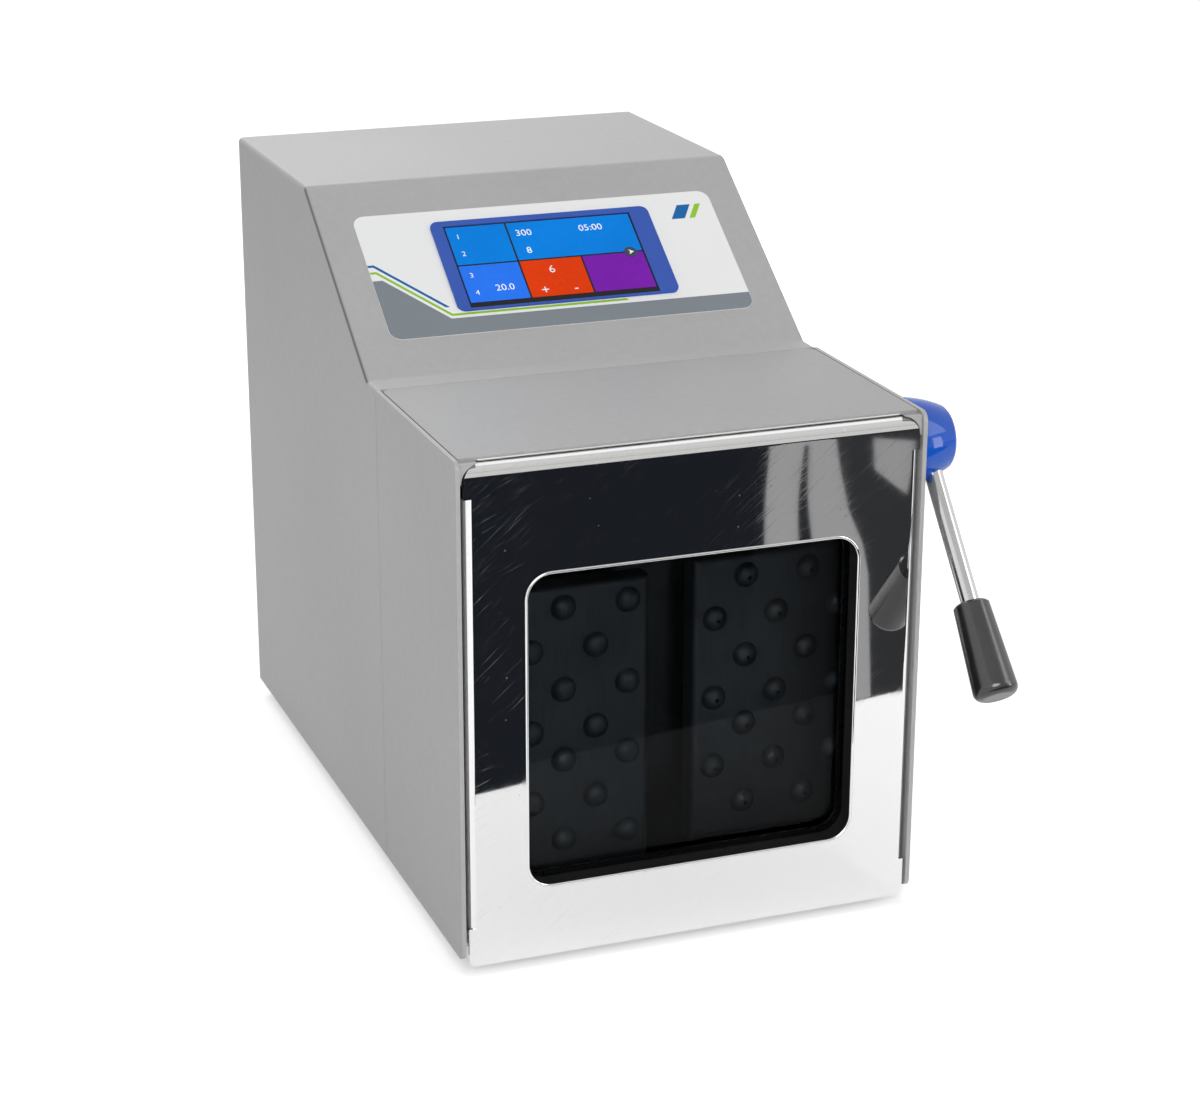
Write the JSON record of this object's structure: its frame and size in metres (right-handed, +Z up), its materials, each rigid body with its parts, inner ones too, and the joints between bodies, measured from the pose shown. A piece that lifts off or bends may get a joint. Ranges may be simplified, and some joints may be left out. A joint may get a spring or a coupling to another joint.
{
  "type": "paddle blender homogenizer",
  "caption": "Bench-top paddle blender for lab bags: sheet-metal housing with sloped touch screen, drop-down windowed door, side latch lever and two opposed paddles driven by a motor.",
  "frame": {"origin": "on the bench, under the middle of the part's bounding box, lever included", "axes": "+X to the right as seen by the person at the door, +Y from the door to the back panel, +Z up"},
  "size_m": [0.243, 0.43, 0.311],
  "materials": {
    "grey_paint": "satin grey paint",
    "polished_steel": "mirror-polished stainless steel",
    "brushed_steel": "brushed stainless steel",
    "paddle_steel": "matt stainless steel",
    "machined_steel": "turned steel",
    "screw_steel": "zinc-plated steel",
    "galvanised_steel": "galvanised sheet",
    "frame_aluminium": "milled",
    "bronze": "turned bronze",
    "motor_paint": "black paint",
    "black_rubber": "matt",
    "smoked_pane": "smoked clear pane",
    "blue_gloss": "glossy blue",
    "black_grip": "semi-gloss black",
    "overlay_film": "printed film",
    "bezel_blue": "blue plastic",
    "screen_glass": "lit touch screen",
    "board_green": "circuit board",
    "black_plastic": "moulded"
  },
  "bodies": {
    "housing": {"base_plate": "galvanised_steel", "feet": "black_rubber", "foot_screws": "screw_steel", "left_wall": "grey_paint", "right_wall": "grey_paint", "hood_panel": "grey_paint", "joint_strip": "galvanised_steel", "rear_cover": "grey_paint", "cover_screws": "screw_steel", "back_panel": "grey_paint", "hinge_pins": "brushed_steel", "shaft_bushes": "bronze", "chamber_liner": "brushed_steel", "rod_seals": "black_rubber", "bearing_plate": "frame_aluminium", "rod_bearings": "machined_steel", "drive_plates": "frame_aluminium", "shaft_bearings": "machined_steel", "drive_belt": "black_rubber", "motor": "motor_paint", "motor_bracket": "galvanised_steel", "motor_screws": "screw_steel", "frame_screws": "screw_steel", "front_overlay": "overlay_film", "screen_bezel": "bezel_blue", "touch_screen": "screen_glass", "display_board": "board_green", "power_inlet": "black_plastic", "inlet_screws": "screw_steel", "switch_frame": "black_plastic", "power_supply": "frame_aluminium", "control_board": "board_green", "board_standoffs": "screw_steel"},
    "door": {"door_panel": "polished_steel", "window_gasket": "black_rubber", "door_window": "smoked_pane", "door_liner": "brushed_steel", "liner_screws": "screw_steel", "hinge_brackets": "brushed_steel", "catch_plates": "brushed_steel", "clamp_strip": "black_rubber"},
    "latch": {"latch_shaft": "machined_steel", "clamp_bar": "black_rubber", "lever_hub": "blue_gloss", "hub_screw": "screw_steel", "lever_rod": "machined_steel", "lever_grip": "black_grip"},
    "left_beater": {"left_paddle": "paddle_steel", "left_push_rods": "machined_steel", "left_yoke": "frame_aluminium"},
    "right_beater": {"right_paddle": "paddle_steel", "right_push_rods": "machined_steel", "right_yoke": "frame_aluminium"},
    "crank": {"eccentric_shaft": "machined_steel", "eccentric_rollers": "machined_steel", "shaft_pulley": "frame_aluminium"},
    "rotor": {"motor_shaft": "machined_steel", "motor_pulley": "frame_aluminium"},
    "rocker": {"power_rocker": "black_plastic"}
  },
  "joints": [
    {"name": "door_tilt", "type": "hinge", "parent": "housing", "child": "door", "pos_m": [-0.0115, -0.14496, 0.017], "axis": [1, 0, 0], "range_deg": [0, 90]},
    {"name": "latch_turn", "type": "hinge", "parent": "housing", "child": "latch", "pos_m": [-0.0115, -0.12816, 0.2191], "axis": [1, 0, 0], "range_deg": [0, 90]},
    {"name": "crank_turn", "type": "hinge", "parent": "housing", "child": "crank", "pos_m": [-0.0115, -0.02396, 0.1015], "axis": [1, 0, 0], "range_deg": [0, 180]},
    {"name": "left_stroke", "type": "slide", "parent": "housing", "child": "left_beater", "axis": [0, 1, 0], "range_m": [0, 0.012]},
    {"name": "right_stroke", "type": "slide", "parent": "housing", "child": "right_beater", "axis": [0, -1, 0], "range_m": [0, 0.012]},
    {"name": "rotor_turn", "type": "hinge", "parent": "housing", "child": "rotor", "pos_m": [-0.0115, 0.09104, 0.066], "axis": [1, 0, 0], "range_deg": [0, 360]},
    {"name": "rocker_tilt", "type": "hinge", "parent": "housing", "child": "rocker", "pos_m": [0.0025, 0.20704, 0.046], "axis": [-1, 0, 0], "range_deg": [0, 20]}
  ],
  "couplings": [
    {"joint": "left_stroke", "follows": "crank_turn", "m_per_rad": 0.0038197},
    {"joint": "right_stroke", "follows": "crank_turn", "m_per_rad": 0.0038197},
    {"joint": "rotor_turn", "follows": "crank_turn", "ratio": 2}
  ]
}
